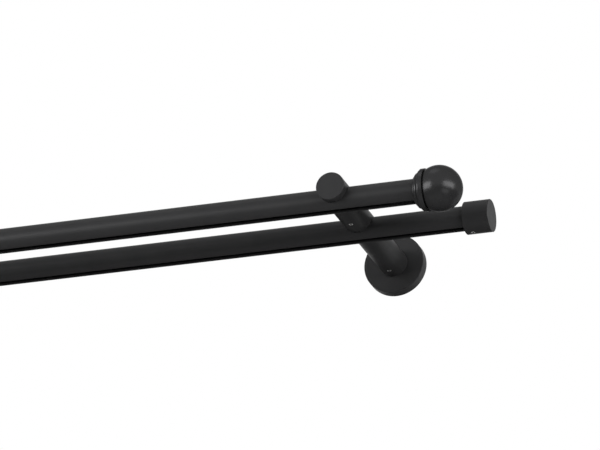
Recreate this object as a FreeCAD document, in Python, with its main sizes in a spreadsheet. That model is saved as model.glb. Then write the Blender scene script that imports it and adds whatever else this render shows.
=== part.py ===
# Double curtain pole on two wall brackets, in millimetres.
# Two slotted poles run along X, one in front of the other, under the arms of two brackets.
# The wall is the plane Y = 0 and the object stands out from it towards -Y, with Z up.
# The origin lies on the wall, midway between the brackets, at the height of the arms' axes.
import FreeCAD, Part
import os
import re
import Sketcher

# Driving dimensions, each set by itself.
SIZES = {
    # Poles: a round tube with a slot along its underside, rounded at its outer edges, and a
    # running lip each side of it.
    "front_pole_length": 1000.0,
    "pole_diameter": 20.0,
    "pole_wall": 1.5,
    "slot_width": 6.8,
    "slot_depth": 3.0,
    "slot_edge": 0.6,
    # Where the poles lie.
    "front_overhang": 65.2,
    "rear_overhang": 104.0,
    "rear_pole_reach": 94.9,
    "pole_spacing": 63.4,
    "pole_drop": 6.1,
    # Arms: round bars that stand out from the wall, notched from below for the poles.
    "arm_diameter": 23.0,
    "arm_nose": 16.7,
    "arm_edge": 0.3,
    "notch_clearance": 0.15,
    "arm_joint_gap": 16.1,
    "arm_bore_depth": 40.0,
    # Plastic rings that grip the poles, in a groove round the middle of each notch.
    "grip_thickness": 2.8,
    "grip_width": 4.8,
    "grip_clearance": 0.1,
    "grip_opening_angle": 150.0,
    # Spigot that joins the front arm to the rear arm.
    "joint_spigot_diameter": 13.0,
    "joint_spigot_length": 19.0,
    "spigot_clearance": 0.1,
    "spigot_end_gap": 1.0,
    # Wall fixing under the rose.
    "rose_diameter": 50.3,
    "rose_thickness": 8.8,
    "rose_face": 2.4,
    "rose_rim": 2.0,
    "rose_edge": 0.4,
    "plate_clearance": 2.15,
    "plate_thickness": 3.0,
    "plate_hole_diameter": 5.0,
    "plate_hole_head": 9.2,
    "plate_hole_spacing": 28.0,
    "wall_spigot_diameter": 14.0,
    "wall_spigot_flange": 18.0,
    "wall_spigot_tail": 8.0,
    "wall_gap": 0.3,
    # Grub screws and the seats that they press on. Each arm's screw is placed from the end
    # of that arm that faces the wall.
    "screw_diameter": 4.0,
    "screw_clearance": 0.05,
    "screw_recess": 0.25,
    "screw_chamfer": 0.4,
    "socket_size": 2.0,
    "socket_depth": 2.2,
    "seat_width": 5.4,
    "seat_depth": 0.7,
    "seat_clearance": 0.05,
    "rear_arm_screw_reach": 11.7,
    "front_arm_screw_reach": 10.2,
    # Ball finial at each end of the front pole. A bead's arc is centred its drop below its top.
    "plug_length": 22.0,
    "plug_clearance": 0.15,
    "finial_screw_inset": 12.0,
    "collar_step": 0.5,
    "first_bead_width": 1.3,
    "first_bead_rise": 1.5,
    "first_bead_drop": 1.5,
    "second_bead_width": 2.5,
    "second_bead_rise": 2.3,
    "second_bead_drop": 2.6,
    "bead_groove_width": 0.35,
    "bead_groove_depth": 0.9,
    "bead_groove_side": 0.8,
    "third_bead_width": 2.25,
    "third_bead_rise": 2.4,
    "third_bead_drop": 2.55,
    "flange_step": 0.45,
    "flange_length": 2.95,
    "neck_depth": 3.0,
    "neck_length": 0.9,
    "ball_diameter": 37.0,
    "ball_flat_inset": 9.1,
    "stud_diameter": 6.0,
    "stud_length": 22.0,
    "stud_in_ball": 13.0,
    "stud_end_gap": 0.5,
    # Cap at each end of the rear pole.
    "cap_diameter": 26.26,
    "cap_length": 21.2,
    "cap_wall": 4.0,
    "cap_clearance": 0.1,
    "cap_edge": 0.3,
    "cap_end_gap": 0.2,
    "cap_screw_inset": 5.8,
    "stop_length": 12.0,
}

# Formulas that several pieces share, in the names above.
SHARED = {
    "pole_radius": "pole_diameter / 2",
    "channel_radius": "pole_radius - pole_wall",
    "channel_floor": "pole_radius - slot_depth",
    "bracket_x": "front_pole_length / 2 - front_overhang",
    "rear_pole_end": "bracket_x + rear_overhang",
    "front_pole_reach": "rear_pole_reach + pole_spacing",
    "notch_radius": "pole_radius + notch_clearance",
    "groove_radius": "notch_radius + grip_thickness",
    "groove_width": "grip_width + 2 * grip_clearance",
    "arm_radius": "arm_diameter / 2",
    "arm_joint_reach": "rear_pole_reach + arm_joint_gap",
    "arm_end_reach": "front_pole_reach + arm_nose",
    "joint_spigot_radius": "joint_spigot_diameter / 2",
    "joint_spigot_reach": "arm_joint_reach + joint_spigot_length",
    "wall_spigot_radius": "wall_spigot_diameter / 2",
    "wall_spigot_reach": "rose_thickness + arm_bore_depth - spigot_end_gap",
    "rose_inside": "rose_thickness - rose_face",
    "plate_radius": "rose_diameter / 2 - rose_rim - plate_clearance",
    "rear_arm_screw_place": "rose_thickness + rear_arm_screw_reach",
    "front_arm_screw_place": "arm_joint_reach + front_arm_screw_reach",
    "screw_radius": "screw_diameter / 2 - screw_clearance",
    "screw_foot": "arm_radius - screw_recess",
    "plug_radius": "channel_radius - plug_clearance",
    "plug_floor": "channel_floor - plug_clearance",
    "first_bead_foot": "pole_radius + collar_step",
    "first_bead_top": "first_bead_foot + first_bead_rise",
    "second_bead_top": "first_bead_top + second_bead_rise",
    "bead_groove_floor": "second_bead_top - bead_groove_depth",
    "third_bead_foot": "bead_groove_floor + bead_groove_side",
    "third_bead_top": "third_bead_foot + third_bead_rise",
    "flange_radius": "third_bead_top + flange_step",
    "bead_groove_start": "first_bead_width + second_bead_width",
    "third_bead_start": "bead_groove_start + bead_groove_width",
    "flange_start": "third_bead_start + third_bead_width",
    "collar_end": "flange_start + flange_length",
    "ball_start": "collar_end + neck_length",
    "ball_centre": "ball_start + ball_flat_inset",
    "ball_radius": "ball_diameter / 2",
    "stud_radius": "stud_diameter / 2",
    "stud_end": "collar_end + stud_in_ball",
    "stud_start": "stud_end - stud_length",
    "cap_radius": "cap_diameter / 2",
    "cap_bore_radius": "pole_radius + cap_clearance",
    "cap_face": "cap_end_gap + cap_wall",
    "cap_rim": "cap_face - cap_length",
    "cap_screw_x": "cap_rim + cap_screw_inset",
}

SIDES = (("left", -1), ("right", 1))

doc = FreeCAD.newDocument("DoubleCurtainPole")
sheet = doc.addObject("Spreadsheet::Sheet", "Sizes")
for row, (alias, number) in enumerate(SIZES.items(), start=1):
    sheet.set("A%d" % row, alias)
    sheet.set("B%d" % row, str(number))
    sheet.setAlias("B%d" % row, alias)
doc.recompute()


# Formulas and sketches

def expression(text):
    """Turn a formula of plain names into one that points at the sheet's cells."""
    def cell(match):
        word = match.group()
        if word in SHARED:
            return "(" + expression(SHARED[word]) + ")"
        if word in SIZES:
            return "Sizes." + word
        return word
    return re.sub(r"[a-z][a-z_]*", cell, text)


def amount(text):
    """The present value of a formula."""
    return float(sheet.evalExpression(expression(text)))


def new_body(label, x="0", y="0", z="0", turned=False):
    """A body at a place given by formulas, turned half round the vertical if asked."""
    body = doc.addObject("PartDesign::Body", label)
    body.Label = label
    if turned:
        body.Placement.Rotation = FreeCAD.Rotation(FreeCAD.Vector(0, 0, 1), 180)
    for axis, text in (("x", x), ("y", y), ("z", z)):
        body.setExpression("Placement.Base." + axis, expression(text))
    return body


def new_sketch(body, plane, name):
    """A sketch on one of the body's own origin planes."""
    sketch = body.newObject("Sketcher::SketchObject", body.Name + "_" + name)
    support = [item for item in body.Origin.OriginFeatures if item.Role == plane][0]
    sketch.AttachmentSupport = [(support, "")]
    sketch.MapMode = "FlatFace"
    return sketch


def tie(sketch, kind, edge, end, text):
    """Tie one coordinate of a point to a formula, or to the sketch's axis where it is zero."""
    value = amount(text)
    if abs(value) < 1e-9:
        axis = -2 if kind == "DistanceX" else -1
        sketch.addConstraint(Sketcher.Constraint("PointOnObject", edge, end, axis))
        return
    index = sketch.addConstraint(Sketcher.Constraint(kind, -1, 1, edge, end, value))
    sketch.setExpression("Constraints[%d]" % index, expression(text))


def arc_over(first, last, centre_up):
    """The arc from one corner to the next that rises above the line between them."""
    drop_first = first.y - centre_up
    drop_last = last.y - centre_up
    spread = last.x ** 2 - first.x ** 2 + drop_last ** 2 - drop_first ** 2
    centre = FreeCAD.Vector(spread / (2 * (last.x - first.x)), centre_up, 0)
    across = FreeCAD.Vector(first.y - last.y, last.x - first.x, 0).normalize()
    if across.y < 0:
        across = -across
    return Part.Arc(first, centre + across * first.distanceToPoint(centre), last)


def outline(sketch, corners):
    """Draw a closed outline. A corner is (across, up), or (across, up, height of a centre)
    where an arc about that centre leads to the next corner."""
    points = []
    for corner in corners:
        points.append(FreeCAD.Vector(amount(corner[0]), amount(corner[1]), 0))
    edges = []
    for index, corner in enumerate(corners):
        first = points[index]
        last = points[(index + 1) % len(points)]
        if len(corner) == 2:
            edge = sketch.addGeometry(Part.LineSegment(first, last), False)
            edges.append((edge, 1, 2))
            continue
        edge = sketch.addGeometry(arc_over(first, last, amount(corner[2])), False)
        forward = sketch.getPoint(edge, 1).distanceToPoint(first) < 1e-6
        edges.append((edge, 1, 2) if forward else (edge, 2, 1))
    for index, (edge, start, end) in enumerate(edges):
        after = edges[(index + 1) % len(edges)]
        sketch.addConstraint(Sketcher.Constraint("Coincident", edge, end, after[0], after[1]))
    for corner, (edge, start, end) in zip(corners, edges):
        tie(sketch, "DistanceX", edge, start, corner[0])
        tie(sketch, "DistanceY", edge, start, corner[1])
        if len(corner) == 3:
            tie(sketch, "DistanceY", edge, 3, corner[2])


def circle(sketch, across, up, radius):
    """Draw a circle whose centre and radius are formulas."""
    centre = FreeCAD.Vector(amount(across), amount(up), 0)
    normal = FreeCAD.Vector(0, 0, 1)
    edge = sketch.addGeometry(Part.Circle(centre, normal, amount(radius)), False)
    tie(sketch, "DistanceX", edge, 3, across)
    tie(sketch, "DistanceY", edge, 3, up)
    index = sketch.addConstraint(Sketcher.Constraint("Radius", edge, amount(radius)))
    sketch.setExpression("Constraints[%d]" % index, expression(radius))


# Features

def finish(body, feature):
    """Make a feature the body's tip and compute it."""
    body.Tip = feature
    doc.recompute()
    return feature


def turn(body, plane, corners, axis="H_Axis"):
    """Turn a half section round one of its sketch's axes."""
    sketch = new_sketch(body, plane, "half_section")
    outline(sketch, corners)
    feature = body.newObject("PartDesign::Revolution", body.Name + "_turned")
    feature.Profile = sketch
    feature.ReferenceAxis = (sketch, [axis])
    feature.Angle = 360.0
    return finish(body, feature)


def pad(body, sketch, length, both_ways=False):
    """Extrude a sketch, along its normal or evenly both ways."""
    feature = body.newObject("PartDesign::Pad", sketch.Name + "_pad")
    feature.Profile = sketch
    feature.Midplane = both_ways
    feature.setExpression("Length", expression(length))
    return finish(body, feature)


def pocket(body, sketch, length, both_ways=False, flipped=False):
    """Cut a sketch away, and make sure that something was cut."""
    before = body.Shape.Volume
    feature = body.newObject("PartDesign::Pocket", sketch.Name + "_pocket")
    feature.Profile = sketch
    feature.Midplane = both_ways
    feature.Reversed = flipped
    feature.setExpression("Length", expression(length))
    finish(body, feature)
    if body.Shape.Volume > before - 1e-3:
        raise RuntimeError(feature.Name + " cuts nothing")
    return feature


def round_edges(body, feature, up, radius):
    """Round the straight edges of a feature that lie at one height."""
    names = []
    for number, edge in enumerate(feature.Shape.Edges, start=1):
        level = all(abs(vertex.Z - amount(up)) < 1e-4 for vertex in edge.Vertexes)
        if level and edge.Curve.TypeId == "Part::GeomLine":
            names.append("Edge%d" % number)
    if not names:
        raise RuntimeError(feature.Name + " has no edge to round")
    rounding = body.newObject("PartDesign::Fillet", feature.Name + "_edges")
    rounding.Base = (feature, names)
    rounding.setExpression("Radius", expression(radius))
    return finish(body, rounding)


# Pieces

def make_pole(label, half_length, reach):
    """A tube with a channel inside, open below through a slot between two running lips."""
    body = new_body(label, y="-(" + reach + ")", z="-pole_drop")
    tube = new_sketch(body, "YZ_Plane", "tube")
    circle(tube, "0", "0", "pole_radius")
    pad(body, tube, "2 * (" + half_length + ")", both_ways=True)
    channel = new_sketch(body, "YZ_Plane", "channel")
    half_floor = "sqrt(channel_radius ^ 2 - channel_floor ^ 2)"
    outline(channel, [
        ("-" + half_floor, "-channel_floor"),
        (half_floor, "-channel_floor", "0"),
    ])
    pocket(body, channel, "2 * (" + half_length + ")", both_ways=True)
    slot = new_sketch(body, "YZ_Plane", "slot")
    outline(slot, [
        ("-slot_width / 2", "0"),
        ("-slot_width / 2", "-pole_radius"),
        ("slot_width / 2", "-pole_radius"),
        ("slot_width / 2", "0"),
    ])
    cut = pocket(body, slot, "2 * (" + half_length + ")", both_ways=True)
    round_edges(body, cut, "-sqrt(pole_radius ^ 2 - slot_width ^ 2 / 4)", "slot_edge")
    return body


def make_wall_plate(label, x):
    """A disc against the wall with a threaded middle and two countersunk screw holes."""
    body = new_body(label, x=x)
    disc = new_sketch(body, "XZ_Plane", "disc")
    circle(disc, "0", "0", "plate_radius")
    circle(disc, "0", "0", "wall_spigot_tail / 2")
    pad(body, disc, "plate_thickness")
    holes = new_sketch(body, "XZ_Plane", "holes")
    holes.setExpression("AttachmentOffset.Base.z", expression("plate_thickness"))
    for sign in ("", "-"):
        circle(holes, "0", sign + "plate_hole_spacing / 2", "plate_hole_diameter / 2")
    doc.recompute()
    before = body.Shape.Volume
    hole = body.newObject("PartDesign::Hole", label + "_hole")
    hole.Profile = holes
    hole.DepthType = "ThroughAll"
    hole.HoleCutType = "Countersink"
    hole.HoleCutCustomValues = True
    hole.HoleCutCountersinkAngle = 90.0
    hole.setExpression("Diameter", expression("plate_hole_diameter"))
    hole.setExpression("HoleCutDiameter", expression("plate_hole_head"))
    finish(body, hole)
    if body.Shape.Volume > before - 1e-3:
        raise RuntimeError(label + " has no holes")
    return body


def make_wall_spigot(label, x):
    """A pin with a tail in the plate, a flange behind the rose and a seat for the screw."""
    body = new_body(label, x=x)
    seat = "wall_spigot_radius - seat_depth"
    turn(body, "YZ_Plane", [
        ("-wall_gap", "0"),
        ("-wall_gap", "wall_spigot_tail / 2"),
        ("-plate_thickness", "wall_spigot_tail / 2"),
        ("-plate_thickness", "wall_spigot_flange / 2"),
        ("-rose_inside", "wall_spigot_flange / 2"),
        ("-rose_inside", "wall_spigot_radius"),
        ("-(rear_arm_screw_place - seat_width / 2)", "wall_spigot_radius"),
        ("-(rear_arm_screw_place - seat_width / 2)", seat),
        ("-(rear_arm_screw_place + seat_width / 2)", seat),
        ("-(rear_arm_screw_place + seat_width / 2)", "wall_spigot_radius"),
        ("-wall_spigot_reach", "wall_spigot_radius"),
        ("-wall_spigot_reach", "0"),
    ])
    return body


def make_rose(label, x):
    """A shallow cup over the wall plate, open to the wall, with a hole for the spigot."""
    body = new_body(label, x=x)
    hole = "wall_spigot_radius + spigot_clearance"
    turn(body, "YZ_Plane", [
        ("-rose_thickness", hole),
        ("-rose_thickness", "rose_diameter / 2 - rose_edge"),
        ("-(rose_thickness - rose_edge)", "rose_diameter / 2"),
        ("0", "rose_diameter / 2"),
        ("0", "rose_diameter / 2 - rose_rim"),
        ("-rose_inside", "rose_diameter / 2 - rose_rim"),
        ("-rose_inside", hole),
    ])
    return body


def cut_notch(body, reach):
    """Cut the notch for a pole across an arm, and the groove for its grip inside it."""
    notch = new_sketch(body, "YZ_Plane", "notch")
    circle(notch, "-(" + reach + ")", "-pole_drop", "notch_radius")
    pocket(body, notch, "2 * arm_diameter", both_ways=True)
    groove = new_sketch(body, "YZ_Plane", "groove")
    circle(groove, "-(" + reach + ")", "-pole_drop", "groove_radius")
    pocket(body, groove, "groove_width", both_ways=True)


def cut_screw_hole(body, along, across_plane_length):
    """Cut the threaded hole for a grub screw downwards from an axis."""
    hole = new_sketch(body, "XY_Plane", "screw_hole")
    circle(hole, along[0], along[1], "screw_diameter / 2")
    pocket(body, hole, across_plane_length)


def make_rear_arm(label, x):
    """The bar next to the wall: bored at the back, notched, with a spigot at the front."""
    body = new_body(label, x=x)
    bore = "wall_spigot_radius + spigot_clearance"
    seat = "joint_spigot_radius - seat_depth"
    turn(body, "YZ_Plane", [
        ("-rose_thickness", bore),
        ("-rose_thickness", "arm_radius"),
        ("-arm_joint_reach", "arm_radius"),
        ("-arm_joint_reach", "joint_spigot_radius"),
        ("-(front_arm_screw_place - seat_width / 2)", "joint_spigot_radius"),
        ("-(front_arm_screw_place - seat_width / 2)", seat),
        ("-(front_arm_screw_place + seat_width / 2)", seat),
        ("-(front_arm_screw_place + seat_width / 2)", "joint_spigot_radius"),
        ("-joint_spigot_reach", "joint_spigot_radius"),
        ("-joint_spigot_reach", "0"),
        ("-(rose_thickness + arm_bore_depth)", "0"),
        ("-(rose_thickness + arm_bore_depth)", bore),
    ])
    cut_notch(body, "rear_pole_reach")
    cut_screw_hole(body, ("0", "-rear_arm_screw_place"), "arm_diameter")
    return body


def make_front_arm(label, x):
    """The bar in front: bored at the back for the rear arm's spigot, notched, flat in front."""
    body = new_body(label, x=x)
    bore = "joint_spigot_radius + spigot_clearance"
    turn(body, "YZ_Plane", [
        ("-arm_joint_reach", bore),
        ("-arm_joint_reach", "arm_radius"),
        ("-(arm_end_reach - arm_edge)", "arm_radius"),
        ("-arm_end_reach", "arm_radius - arm_edge"),
        ("-arm_end_reach", "0"),
        ("-(joint_spigot_reach + spigot_end_gap)", "0"),
        ("-(joint_spigot_reach + spigot_end_gap)", bore),
    ])
    cut_notch(body, "front_pole_reach")
    cut_screw_hole(body, ("0", "-front_arm_screw_place"), "arm_diameter")
    return body


def make_grip(label, x, reach):
    """A ring that fills the groove round the pole and stays open below."""
    body = new_body(label, x=x, y="-(" + reach + ")", z="-pole_drop")
    section = new_sketch(body, "XZ_Plane", "section")
    inside = "pole_radius + screw_clearance"
    outside = "groove_radius - grip_clearance"
    outline(section, [
        ("-grip_width / 2", inside),
        ("-grip_width / 2", outside),
        ("grip_width / 2", outside),
        ("grip_width / 2", inside),
    ])
    ring = body.newObject("PartDesign::Revolution", label + "_ring")
    ring.Profile = section
    ring.ReferenceAxis = (section, ["H_Axis"])
    ring.Midplane = True
    ring.setExpression("Angle", expression("360 - grip_opening_angle"))
    finish(body, ring)
    return body


def make_screw(label, place, length):
    """A grub screw that stands on its socket end, with bevels at both ends."""
    body = new_body(label, x=place[0], y=place[1], z=place[2])
    turn(body, "XZ_Plane", [
        ("0", "0"),
        ("screw_radius - screw_chamfer", "0"),
        ("screw_radius", "screw_chamfer"),
        ("screw_radius", length + " - screw_chamfer"),
        ("screw_radius - screw_chamfer", length),
        ("0", length),
    ], axis="V_Axis")
    socket = new_sketch(body, "XY_Plane", "socket")
    point = "socket_size / sqrt(3)"
    shoulder = "socket_size / sqrt(12)"
    outline(socket, [
        (point, "0"),
        (shoulder, "socket_size / 2"),
        ("-" + shoulder, "socket_size / 2"),
        ("-" + point, "0"),
        ("-" + shoulder, "-socket_size / 2"),
        (shoulder, "-socket_size / 2"),
    ])
    pocket(body, socket, "socket_depth", flipped=True)
    return body


def make_collar(label, place, turned):
    """Plug, three beads and a flange turned in one, with the channel's flat below."""
    body = new_body(label, x=place[0], y=place[1], z=place[2], turned=turned)
    turn(body, "XZ_Plane", [
        ("-plug_length", "0"),
        ("-plug_length", "plug_radius"),
        ("0", "plug_radius"),
        ("0", "first_bead_foot", "first_bead_top - first_bead_drop"),
        ("first_bead_width", "first_bead_top", "second_bead_top - second_bead_drop"),
        ("bead_groove_start", "second_bead_top"),
        ("bead_groove_start", "bead_groove_floor"),
        ("third_bead_start", "bead_groove_floor"),
        ("third_bead_start", "third_bead_foot", "third_bead_top - third_bead_drop"),
        ("flange_start", "third_bead_top"),
        ("flange_start", "flange_radius"),
        ("collar_end", "flange_radius"),
        ("collar_end", "stud_radius + screw_clearance"),
        ("stud_start - stud_end_gap", "stud_radius + screw_clearance"),
        ("stud_start - stud_end_gap", "0"),
    ])
    flat = new_sketch(body, "YZ_Plane", "flat")
    outline(flat, [
        ("-plug_radius", "-plug_floor"),
        ("-plug_radius", "-pole_radius"),
        ("plug_radius", "-pole_radius"),
        ("plug_radius", "-plug_floor"),
    ])
    pocket(body, flat, "plug_length")
    hole = new_sketch(body, "XY_Plane", "screw_hole")
    circle(hole, "-finial_screw_inset", "0", "screw_diameter / 2")
    pocket(body, hole, "pole_diameter", both_ways=True)
    return body


def make_stud(label, place, turned):
    """A threaded rod between collar and ball."""
    body = new_body(label, x=place[0], y=place[1], z=place[2], turned=turned)
    turn(body, "XZ_Plane", [
        ("stud_start", "0"),
        ("stud_start", "stud_radius - screw_chamfer"),
        ("stud_start + screw_chamfer", "stud_radius"),
        ("stud_end - screw_chamfer", "stud_radius"),
        ("stud_end", "stud_radius - screw_chamfer"),
        ("stud_end", "0"),
    ])
    return body


def make_ball(label, place, turned):
    """A ball with a short neck against the collar and a bore for the stud."""
    body = new_body(label, x=place[0], y=place[1], z=place[2], turned=turned)
    turn(body, "XZ_Plane", [
        ("collar_end", "stud_radius + screw_clearance"),
        ("collar_end", "flange_radius - neck_depth"),
        ("ball_start", "flange_radius - neck_depth"),
        ("ball_start", "sqrt(ball_radius ^ 2 - ball_flat_inset ^ 2)", "0"),
        ("ball_centre + ball_radius", "0"),
        ("stud_end + stud_end_gap", "0"),
        ("stud_end + stud_end_gap", "stud_radius + screw_clearance"),
    ])
    return body


def make_cap(label, place, turned):
    """A cap over the pole's end, with a threaded hole from below."""
    body = new_body(label, x=place[0], y=place[1], z=place[2], turned=turned)
    turn(body, "XZ_Plane", [
        ("cap_rim", "cap_bore_radius"),
        ("cap_rim", "cap_radius - cap_edge"),
        ("cap_rim + cap_edge", "cap_radius"),
        ("cap_face - cap_edge", "cap_radius"),
        ("cap_face", "cap_radius - cap_edge"),
        ("cap_face", "0"),
        ("cap_end_gap", "0"),
        ("cap_end_gap", "cap_bore_radius"),
    ])
    cut_screw_hole(body, ("cap_screw_x", "0"), "cap_diameter")
    return body


def make_stop(label, place, turned):
    """A block with the channel's section that the cap's screw presses upwards."""
    body = new_body(label, x=place[0], y=place[1], z=place[2], turned=turned)
    section = new_sketch(body, "YZ_Plane", "section")
    section.setExpression("AttachmentOffset.Base.z", expression("cap_screw_x"))
    half_floor = "sqrt(plug_radius ^ 2 - plug_floor ^ 2)"
    outline(section, [
        ("-" + half_floor, "-plug_floor"),
        (half_floor, "-plug_floor", "0"),
    ])
    pad(body, section, "stop_length", both_ways=True)
    return body


# The object

make_pole("front_pole", "front_pole_length / 2", "front_pole_reach")
make_pole("rear_pole", "rear_pole_end", "rear_pole_reach")

for side, sign in SIDES:
    at_left = sign < 0
    bracket_x = "%d * bracket_x" % sign
    make_wall_plate("wall_plate_" + side, bracket_x)
    make_wall_spigot("wall_spigot_" + side, bracket_x)
    make_rose("rose_" + side, bracket_x)
    make_rear_arm("rear_arm_" + side, bracket_x)
    make_front_arm("front_arm_" + side, bracket_x)
    make_grip("rear_grip_" + side, bracket_x, "rear_pole_reach")
    make_grip("front_grip_" + side, bracket_x, "front_pole_reach")
    make_screw("rear_arm_screw_" + side, (bracket_x, "-rear_arm_screw_place", "-screw_foot"),
               "(screw_foot - wall_spigot_radius + seat_depth - seat_clearance)")
    make_screw("front_arm_screw_" + side, (bracket_x, "-front_arm_screw_place", "-screw_foot"),
               "(screw_foot - joint_spigot_radius + seat_depth - seat_clearance)")

    front_end = ("%d * front_pole_length / 2" % sign, "-front_pole_reach", "-pole_drop")
    make_collar("finial_collar_" + side, front_end, at_left)
    make_stud("finial_stud_" + side, front_end, at_left)
    make_ball("finial_ball_" + side, front_end, at_left)
    make_screw("finial_screw_" + side,
               ("%d * (front_pole_length / 2 - finial_screw_inset)" % sign,
                "-front_pole_reach", "-pole_drop"),
               "(sqrt(channel_radius ^ 2 - screw_radius ^ 2) - seat_clearance)")

    rear_end = ("%d * rear_pole_end" % sign, "-rear_pole_reach", "-pole_drop")
    make_cap("end_cap_" + side, rear_end, at_left)
    make_stop("pole_stop_" + side, rear_end, at_left)
    make_screw("cap_screw_" + side,
               ("%d * (rear_pole_end + cap_screw_x)" % sign,
                "-rear_pole_reach", "-pole_drop - cap_radius + screw_recess"),
               "(cap_radius - screw_recess - plug_floor - seat_clearance)")

doc.recompute()

# Checks, then one file for each piece

pieces = [item for item in doc.Objects if item.TypeId == "PartDesign::Body"]
for item in doc.Objects:
    if "Invalid" in item.State or "Error" in item.State:
        raise RuntimeError(item.Name + " failed: " + ", ".join(item.State))
for piece in pieces:
    if piece.Shape.isNull() or not piece.Shape.isValid():
        raise RuntimeError(piece.Label + " has no valid shape")
    if len(piece.Shape.Solids) != 1:
        raise RuntimeError(piece.Label + " is not one solid")

os.makedirs("parts", exist_ok=True)
for piece in pieces:
    piece.Shape.exportStep("parts/" + piece.Label + ".step")
print(len(pieces), "pieces written")
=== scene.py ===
import bpy
import math
from mathutils import Matrix, Vector

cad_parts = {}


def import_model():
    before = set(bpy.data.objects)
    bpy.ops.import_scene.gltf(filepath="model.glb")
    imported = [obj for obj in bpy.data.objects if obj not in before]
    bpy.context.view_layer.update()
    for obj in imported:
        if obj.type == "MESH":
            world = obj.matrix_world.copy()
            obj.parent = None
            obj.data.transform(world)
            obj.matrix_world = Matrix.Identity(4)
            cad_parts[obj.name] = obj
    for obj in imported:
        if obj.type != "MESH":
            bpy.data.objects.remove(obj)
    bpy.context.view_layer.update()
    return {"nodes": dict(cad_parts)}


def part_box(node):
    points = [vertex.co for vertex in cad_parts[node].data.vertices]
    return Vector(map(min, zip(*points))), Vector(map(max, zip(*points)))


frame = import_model()

# Lengths are in metres, in the model's own frame: X along the poles, Z up, the wall at Y = 0.
SIDES = ("left", "right")

# Camera, as the photograph was taken: from below and from the right, through a long lens.
IMAGE_WIDTH = 600
SENSOR_WIDTH = 36.0
FOCAL_LENGTH_IN_PIXELS = 5156.2
CAMERA_TURN = 18.733
CAMERA_RISE = 22.877
CAMERA_ROLL = 0.695
CAMERA_DISTANCE = 4.2239
CAMERA_CLIP = (0.1, 100.0)

# The spot that the camera looks at, from the right bracket's middle on the wall.
LOOK_LEFT_OF_BRACKET = 0.08348
LOOK_ABOVE_ARM = 0.0476

# Floor, well below the camera. It glows to the camera and, less, in reflections.
FLOOR_LEVEL = -2.2
FLOOR_SIZE = 40.0
FLOOR_COLOUR = (0.78, 0.78, 0.78, 1.0)
FLOOR_ROUGHNESS = 0.9
FLOOR_SHINE = 0.1
FLOOR_GLOW = 0.85
FLOOR_GLOW_IN_REFLECTIONS = 0.20

# Lamps: direction seen from the object (turn to the right of the room's side, rise above the
# horizon, in degrees), distance, width, height and power in watts.
LAMPS = {
    "left_box": (-42.0, 2.0, 2.6, 1.9, 1.2, 56.0),
    "left_side_box": (-78.0, 4.0, 2.6, 1.2, 1.6, 10.0),
    "right_box": (62.0, 2.0, 2.6, 2.5, 1.0, 52.0),
    "low_right_box": (50.0, -30.0, 2.6, 1.4, 0.7, 5.0),
    "back_box": (146.0, -14.0, 2.6, 1.6, 1.6, 8.0),
    "top_box": (-30.0, 70.0, 2.5, 1.2, 1.2, 6.0),
}
WORLD_LIGHT = 0.02

# Coats of black paint: tones and roughness from low to high, share of metal, brightness of the
# reflection at glancing angles, and depth of the grain. Both coats have spots of the same sizes.
COATS = {
    "black_powder_coat": {"tones": (0.0340, 0.0370), "sheens": (0.37, 0.43),
                          "metal": 0.27, "edge": 0.75, "grain": 0.00001},
    "black_satin_paint": {"tones": (0.0345, 0.0370), "sheens": (0.24, 0.28),
                          "metal": 0.50, "edge": 0.40, "grain": 0.000004},
}
COAT_TONE_SPOTS = 0.02
COAT_SHEEN_SPOTS = 0.006
COAT_GRAIN_SPOTS = 0.0006
COAT_SHINE = 0.02
COAT_BLUE = 1.02

# Screws, with shade painted into their sockets: how far a point looks for open space round it, the
# shares of open space at which the painted shade is full and at which it is gone, and the shade's
# and the steel's colours.
SCREW_REACH = 0.0025
SCREW_SHADE_OPENNESS = (0.55, 0.70)
SCREW_SHADE_AND_STEEL_COLOURS = ((0.03, 0.03, 0.03), (0.86, 0.86, 0.84))

ZINC_COLOURS = ((0.52, 0.52, 0.50), (0.64, 0.64, 0.62))
NYLON_COLOURS = ((0.017, 0.017, 0.017), (0.022, 0.022, 0.022))


# Materials

class Recipe:
    """A material's node tree, built node by node."""

    def __init__(self, name):
        self.material = bpy.data.materials.new(name)
        self.material.use_nodes = True
        self.tree = self.material.node_tree
        self.shader = self.tree.nodes["Principled BSDF"]
        self.place = self.add("ShaderNodeTexCoord").outputs["Object"]

    def add(self, kind, **settings):
        node = self.tree.nodes.new(kind)
        for name, value in settings.items():
            setattr(node, name, value)
        return node

    def link(self, source, target):
        self.tree.links.new(source, target)

    def noise(self, spots):
        """Noise with spots of about this size."""
        node = self.add("ShaderNodeTexNoise")
        self.link(self.place, node.inputs["Vector"])
        node.inputs["Scale"].default_value = 1.0 / spots
        node.inputs["Detail"].default_value = 2.0
        return node.outputs["Fac"]

    def spread(self, value, low, high, source=(0.3, 0.7)):
        """Map a value, by default the middle of a noise, onto the range from low to high."""
        node = self.add("ShaderNodeMapRange")
        self.link(value, node.inputs["Value"])
        node.inputs["From Min"].default_value = source[0]
        node.inputs["From Max"].default_value = source[1]
        node.inputs["To Min"].default_value = low
        node.inputs["To Max"].default_value = high
        return node.outputs["Result"]

    def blend(self, factor, first, second):
        node = self.add("ShaderNodeMix", data_type="RGBA")
        self.link(factor, node.inputs["Factor"])
        node.inputs["A"].default_value = (*first, 1.0)
        node.inputs["B"].default_value = (*second, 1.0)
        return node.outputs["Result"]

    def bump(self, height, depth):
        node = self.add("ShaderNodeBump")
        self.link(height, node.inputs["Height"])
        node.inputs["Distance"].default_value = depth
        node.inputs["Strength"].default_value = 1.0
        self.link(node.outputs["Normal"], self.shader.inputs["Normal"])

    def set(self, name, value):
        self.shader.inputs[name].default_value = value


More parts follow.
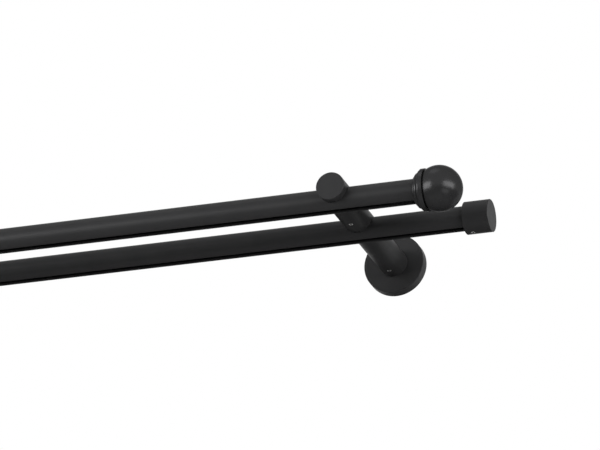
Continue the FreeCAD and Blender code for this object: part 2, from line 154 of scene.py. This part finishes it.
def black_coat(name, tones, sheens, metal, edge, grain):
    """Black paint on metal: a fine pebbled skin, with slow changes in tone and in sheen."""
    coat = Recipe(name)
    low, high = tones
    tone = coat.spread(coat.noise(COAT_TONE_SPOTS), low=0.0, high=1.0)
    colour = coat.blend(tone, (low, low, low * COAT_BLUE), (high, high, high * COAT_BLUE))
    coat.link(colour, coat.shader.inputs["Base Color"])
    sheen = coat.spread(coat.noise(COAT_SHEEN_SPOTS), *sheens)
    coat.link(sheen, coat.shader.inputs["Roughness"])
    coat.set("Metallic", metal)
    coat.set("Specular IOR Level", COAT_SHINE)
    coat.set("Specular Tint", (edge, edge, edge, 1.0))
    coat.bump(coat.noise(COAT_GRAIN_SPOTS), depth=grain)
    return coat.material


def zinc():
    """Zinc-plated steel: cloudy grey metal with a very fine grain."""
    steel = Recipe("zinc_plate")
    cloud = steel.spread(steel.noise(spots=0.003), low=0.0, high=1.0)
    colour = steel.blend(cloud, *ZINC_COLOURS)
    steel.link(colour, steel.shader.inputs["Base Color"])
    steel.set("Metallic", 1.0)
    sheen = steel.spread(steel.noise(spots=0.001), low=0.28, high=0.42)
    steel.link(sheen, steel.shader.inputs["Roughness"])
    steel.bump(steel.noise(spots=0.0003), depth=0.000008)
    return steel.material


def screw_steel():
    """Bright zinc-plated steel, with shade painted dark into the base colour down in the socket,
    where little light gets in.
    """
    steel = Recipe("bright_steel_painted_socket_shade")
    open_space = steel.add("ShaderNodeAmbientOcclusion", samples=8)
    open_space.inputs["Distance"].default_value = SCREW_REACH
    # Painted shade: the base colour goes from the dark shade colour to the steel's colour as the
    # open space round a point grows.
    lit = steel.spread(open_space.outputs["AO"], low=0.0, high=1.0, source=SCREW_SHADE_OPENNESS)
    colour = steel.blend(lit, *SCREW_SHADE_AND_STEEL_COLOURS)
    steel.link(colour, steel.shader.inputs["Base Color"])
    steel.set("Metallic", 1.0)
    sheen = steel.spread(steel.noise(spots=0.0005), low=0.35, high=0.50)
    steel.link(sheen, steel.shader.inputs["Roughness"])
    return steel.material


def black_nylon():
    """Moulded nylon: soft sheen and a very fine grain."""
    nylon = Recipe("black_nylon")
    tone = nylon.spread(nylon.noise(spots=0.004), low=0.0, high=1.0)
    colour = nylon.blend(tone, *NYLON_COLOURS)
    nylon.link(colour, nylon.shader.inputs["Base Color"])
    sheen = nylon.spread(nylon.noise(spots=0.0008), low=0.50, high=0.60)
    nylon.link(sheen, nylon.shader.inputs["Roughness"])
    nylon.set("Specular IOR Level", 0.3)
    nylon.bump(nylon.noise(spots=0.0004), depth=0.00001)
    return nylon.material


MATERIALS = {
    "coat": black_coat("black_powder_coat", **COATS["black_powder_coat"]),
    "satin": black_coat("black_satin_paint", **COATS["black_satin_paint"]),
    "zinc": zinc(),
    "screw": screw_steel(),
    "nylon": black_nylon(),
}

# Finish of each kind of piece. The kinds that aren't named have the powder coat.
FINISHES = {
    "finial_ball": "satin",
    "finial_collar": "satin",
    "wall_plate": "zinc",
    "wall_spigot": "zinc",
    "finial_stud": "zinc",
    "rear_arm_screw": "screw",
    "front_arm_screw": "screw",
    "finial_screw": "screw",
    "cap_screw": "screw",
    "rear_grip": "nylon",
    "front_grip": "nylon",
    "pole_stop": "nylon",
}
for name, node in frame["nodes"].items():
    kind = name
    for side in SIDES:
        kind = kind.removesuffix("_" + side)
    node.data.materials.clear()
    node.data.materials.append(MATERIALS[FINISHES.get(kind, "coat")])


# Floor, world and lamps

def seen(tree):
    """One for rays from the camera, from reflections and through glass, zero for the rest."""
    path = tree.nodes.new("ShaderNodeLightPath")
    value = path.outputs["Is Camera Ray"]
    for kind in ("Is Glossy Ray", "Is Transmission Ray"):
        either = tree.nodes.new("ShaderNodeMath")
        either.operation = "MAXIMUM"
        tree.links.new(value, either.inputs[0])
        tree.links.new(path.outputs[kind], either.inputs[1])
        value = either.outputs["Value"]
    return value


def floor():
    """A pale floor that shows as nearly white, keeps shadows and can be seen through from below."""
    bpy.ops.mesh.primitive_plane_add(size=FLOOR_SIZE, location=(0, 0, FLOOR_LEVEL))
    plane = bpy.context.object
    plane.name = "floor"
    recipe = Recipe("pale_floor")
    recipe.set("Base Color", FLOOR_COLOUR)
    recipe.set("Roughness", FLOOR_ROUGHNESS)
    recipe.set("Specular IOR Level", FLOOR_SHINE)
    view = recipe.add("ShaderNodeLightPath").outputs["Is Camera Ray"]
    extra = recipe.add("ShaderNodeMath", operation="MULTIPLY")
    recipe.link(view, extra.inputs[0])
    extra.inputs[1].default_value = FLOOR_GLOW - FLOOR_GLOW_IN_REFLECTIONS
    glow = recipe.add("ShaderNodeMath", operation="MULTIPLY_ADD")
    recipe.link(seen(recipe.tree), glow.inputs[0])
    glow.inputs[1].default_value = FLOOR_GLOW_IN_REFLECTIONS
    recipe.link(extra.outputs["Value"], glow.inputs[2])
    recipe.set("Emission Color", (1, 1, 1, 1))
    recipe.link(glow.outputs["Value"], recipe.shader.inputs["Emission Strength"])
    back = recipe.add("ShaderNodeNewGeometry").outputs["Backfacing"]
    clear = recipe.add("ShaderNodeBsdfTransparent")
    mix = recipe.add("ShaderNodeMixShader")
    recipe.link(back, mix.inputs["Fac"])
    recipe.link(recipe.shader.outputs["BSDF"], mix.inputs[1])
    recipe.link(clear.outputs["BSDF"], mix.inputs[2])
    out = recipe.tree.nodes["Material Output"]
    recipe.link(mix.outputs["Shader"], out.inputs["Surface"])
    plane.data.materials.append(recipe.material)


def world():
    """White to look at and in reflections, dimmer as a source of diffuse light."""
    sky = bpy.data.worlds.new("studio")
    bpy.context.scene.world = sky
    sky.use_nodes = True
    tree = sky.node_tree
    tree.nodes.clear()
    mix = tree.nodes.new("ShaderNodeMixShader")
    tree.links.new(seen(tree), mix.inputs["Fac"])
    for socket, strength in ((1, WORLD_LIGHT), (2, 1.0)):
        light = tree.nodes.new("ShaderNodeBackground")
        light.inputs["Strength"].default_value = strength
        light.inputs["Color"].default_value = (1, 1, 1, 1)
        tree.links.new(light.outputs["Background"], mix.inputs[socket])
    out = tree.nodes.new("ShaderNodeOutputWorld")
    tree.links.new(mix.outputs["Shader"], out.inputs["Surface"])


def direction(turn, rise):
    """Unit vector away from the object, for angles in degrees as in LAMPS."""
    across = math.radians(turn)
    upward = math.radians(rise)
    return Vector((
        math.sin(across) * math.cos(upward),
        -math.cos(across) * math.cos(upward),
        math.sin(upward),
    ))


def lamps(target):
    """Soft boxes round the object, which the camera doesn't see."""
    for name, (turn, rise, distance, width, height, power) in LAMPS.items():
        data = bpy.data.lights.new(name, "AREA")
        data.shape = "RECTANGLE"
        data.size = width
        data.size_y = height
        data.energy = power
        lamp = bpy.data.objects.new(name, data)
        bpy.context.scene.collection.objects.link(lamp)
        out = direction(turn, rise)
        lamp.location = target + out * distance
        lamp.rotation_mode = "QUATERNION"
        lamp.rotation_quaternion = out.to_track_quat("Z", "Y")
        lamp.visible_camera = False


def camera():
    """The photograph's camera, which looks up by CAMERA_RISE. Returns the spot it looks at."""
    low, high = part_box("rose_right")
    look = Vector(((low.x + high.x) / 2 - LOOK_LEFT_OF_BRACKET, 0, LOOK_ABOVE_ARM))
    turn = math.radians(CAMERA_TURN)
    roll = math.radians(CAMERA_ROLL)
    ahead = -direction(CAMERA_TURN, -CAMERA_RISE)
    level = Vector((math.cos(turn), math.sin(turn), 0))
    above = level.cross(ahead)
    right = level * math.cos(roll) + above * math.sin(roll)
    up = above * math.cos(roll) - level * math.sin(roll)
    data = bpy.data.cameras.new("camera")
    data.sensor_width = SENSOR_WIDTH
    data.lens = FOCAL_LENGTH_IN_PIXELS * SENSOR_WIDTH / IMAGE_WIDTH
    data.clip_start, data.clip_end = CAMERA_CLIP
    seen_from = bpy.data.objects.new("camera", data)
    bpy.context.scene.collection.objects.link(seen_from)
    spot = look - ahead * CAMERA_DISTANCE
    turned = Matrix((right, up, -ahead)).transposed().to_4x4()
    seen_from.matrix_world = Matrix.Translation(spot) @ turned
    bpy.context.scene.camera = seen_from
    return look


floor()
world()
look_at = camera()
lamps(look_at)
bpy.context.scene.view_settings.view_transform = "Standard"
